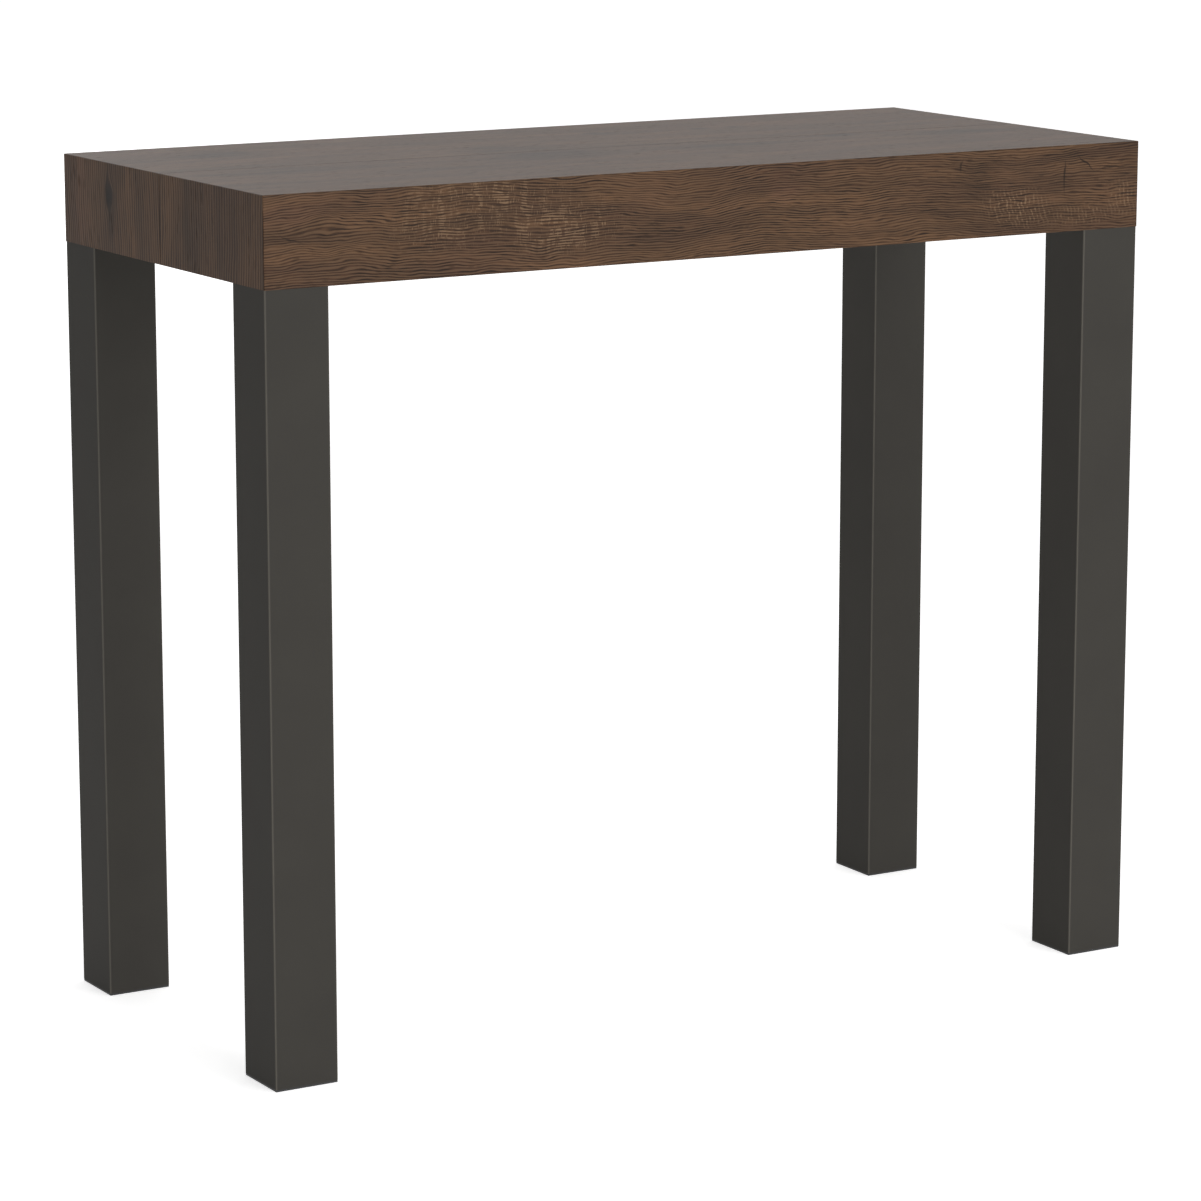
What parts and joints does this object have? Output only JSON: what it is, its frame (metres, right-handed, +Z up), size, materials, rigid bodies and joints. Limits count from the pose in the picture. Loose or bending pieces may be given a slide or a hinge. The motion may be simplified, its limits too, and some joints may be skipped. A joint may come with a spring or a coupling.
{
  "type": "extending console table",
  "caption": "Console table of two half boxes in dark oak decor on square steel legs; the rear half slides out on telescopic runners.",
  "frame": {"origin": "on the floor, under the middle of the closed table", "axes": "+X along the length, +Y the way the rear half slides out, +Z up"},
  "size_m": [0.9, 0.4, 0.77],
  "materials": {
    "oak_decor": "embossed dark oak melamine",
    "leg_powder_coat": "fine matt anthracite powder coat",
    "anodised_aluminium": "satin anodised extrusion",
    "zinc_steel": "bright zinc plate",
    "black_nylon": "moulded, matt",
    "beech": "turned, unfinished"
  },
  "bodies": {
    "front_half": {"alignment_dowels": "beech", "front_apron": "oak_decor", "front_bracket_screws": "zinc_steel", "front_left_bracket": "zinc_steel", "front_left_end_apron": "oak_decor", "front_left_foot": "black_nylon", "front_left_leg": "leg_powder_coat", "front_leg_bolts": "zinc_steel", "front_rail_screws": "zinc_steel", "front_right_bracket": "zinc_steel", "front_right_end_apron": "oak_decor", "front_right_foot": "black_nylon", "front_right_leg": "leg_powder_coat", "front_top_panel": "oak_decor", "latch_pivots": "zinc_steel", "left_front_rail": "anodised_aluminium", "left_front_rail_stop": "black_nylon", "right_front_rail": "anodised_aluminium", "right_front_rail_stop": "black_nylon"},
    "rear_half": {"latch_pins": "zinc_steel", "left_rear_rail": "anodised_aluminium", "rear_apron": "oak_decor", "rear_bracket_screws": "zinc_steel", "rear_left_bracket": "zinc_steel", "rear_left_end_apron": "oak_decor", "rear_left_foot": "black_nylon", "rear_left_leg": "leg_powder_coat", "rear_leg_bolts": "zinc_steel", "rear_rail_screws": "zinc_steel", "rear_right_bracket": "zinc_steel", "rear_right_end_apron": "oak_decor", "rear_right_foot": "black_nylon", "rear_right_leg": "leg_powder_coat", "rear_top_panel": "oak_decor", "right_rear_rail": "anodised_aluminium"},
    "left_stage_1": {"left_stage_rail_1": "anodised_aluminium", "left_stage_rail_1_stop": "black_nylon"},
    "left_stage_2": {"left_stage_rail_2": "anodised_aluminium", "left_stage_rail_2_stop": "black_nylon"},
    "left_stage_3": {"left_stage_rail_3": "anodised_aluminium", "left_stage_rail_3_stop": "black_nylon"},
    "left_stage_4": {"left_stage_rail_4": "anodised_aluminium", "left_stage_rail_4_stop": "black_nylon"},
    "left_stage_5": {"left_stage_rail_5": "anodised_aluminium", "left_stage_rail_5_stop": "black_nylon"},
    "left_latch": {"left_latch_hook": "zinc_steel"},
    "right_stage_1": {"right_stage_rail_1": "anodised_aluminium", "right_stage_rail_1_stop": "black_nylon"},
    "right_stage_2": {"right_stage_rail_2": "anodised_aluminium", "right_stage_rail_2_stop": "black_nylon"},
    "right_stage_3": {"right_stage_rail_3": "anodised_aluminium", "right_stage_rail_3_stop": "black_nylon"},
    "right_stage_4": {"right_stage_rail_4": "anodised_aluminium", "right_stage_rail_4_stop": "black_nylon"},
    "right_stage_5": {"right_stage_rail_5": "anodised_aluminium", "right_stage_rail_5_stop": "black_nylon"},
    "right_latch": {"right_latch_hook": "zinc_steel"}
  },
  "joints": [
    {"name": "extension_slide", "type": "slide", "parent": "front_half", "child": "rear_half", "axis": [0, 1, 0], "range_m": [0, 1.56]},
    {"name": "left_stage_1_slide", "type": "slide", "parent": "front_half", "child": "left_stage_1", "axis": [0, 1, 0], "range_m": [0, 0.261]},
    {"name": "left_stage_2_slide", "type": "slide", "parent": "front_half", "child": "left_stage_2", "axis": [0, 1, 0], "range_m": [0, 0.521]},
    {"name": "left_stage_3_slide", "type": "slide", "parent": "front_half", "child": "left_stage_3", "axis": [0, 1, 0], "range_m": [0, 0.781]},
    {"name": "left_stage_4_slide", "type": "slide", "parent": "front_half", "child": "left_stage_4", "axis": [0, 1, 0], "range_m": [0, 1.041]},
    {"name": "left_stage_5_slide", "type": "slide", "parent": "front_half", "child": "left_stage_5", "axis": [0, 1, 0], "range_m": [0, 1.301]},
    {"name": "right_stage_1_slide", "type": "slide", "parent": "front_half", "child": "right_stage_1", "axis": [0, 1, 0], "range_m": [0, 0.261]},
    {"name": "right_stage_2_slide", "type": "slide", "parent": "front_half", "child": "right_stage_2", "axis": [0, 1, 0], "range_m": [0, 0.521]},
    {"name": "right_stage_3_slide", "type": "slide", "parent": "front_half", "child": "right_stage_3", "axis": [0, 1, 0], "range_m": [0, 0.781]},
    {"name": "right_stage_4_slide", "type": "slide", "parent": "front_half", "child": "right_stage_4", "axis": [0, 1, 0], "range_m": [0, 1.041]},
    {"name": "right_stage_5_slide", "type": "slide", "parent": "front_half", "child": "right_stage_5", "axis": [0, 1, 0], "range_m": [0, 1.301]},
    {"name": "left_latch_hinge", "type": "hinge", "parent": "front_half", "child": "left_latch", "pos_m": [-0.164, -0.03, 0.7465], "axis": [0, 0, 1], "range_deg": [0, 90]},
    {"name": "right_latch_hinge", "type": "hinge", "parent": "front_half", "child": "right_latch", "pos_m": [0.164, -0.03, 0.7465], "axis": [0, 0, -1], "range_deg": [0, 90]}
  ],
  "couplings": [
    {"joint": "left_stage_1_slide", "follows": "extension_slide", "ratio": 0.16667},
    {"joint": "left_stage_2_slide", "follows": "extension_slide", "ratio": 0.33333},
    {"joint": "left_stage_3_slide", "follows": "extension_slide", "ratio": 0.5},
    {"joint": "left_stage_4_slide", "follows": "extension_slide", "ratio": 0.66667},
    {"joint": "left_stage_5_slide", "follows": "extension_slide", "ratio": 0.83333},
    {"joint": "right_stage_1_slide", "follows": "extension_slide", "ratio": 0.16667},
    {"joint": "right_stage_2_slide", "follows": "extension_slide", "ratio": 0.33333},
    {"joint": "right_stage_3_slide", "follows": "extension_slide", "ratio": 0.5},
    {"joint": "right_stage_4_slide", "follows": "extension_slide", "ratio": 0.66667},
    {"joint": "right_stage_5_slide", "follows": "extension_slide", "ratio": 0.83333}
  ]
}
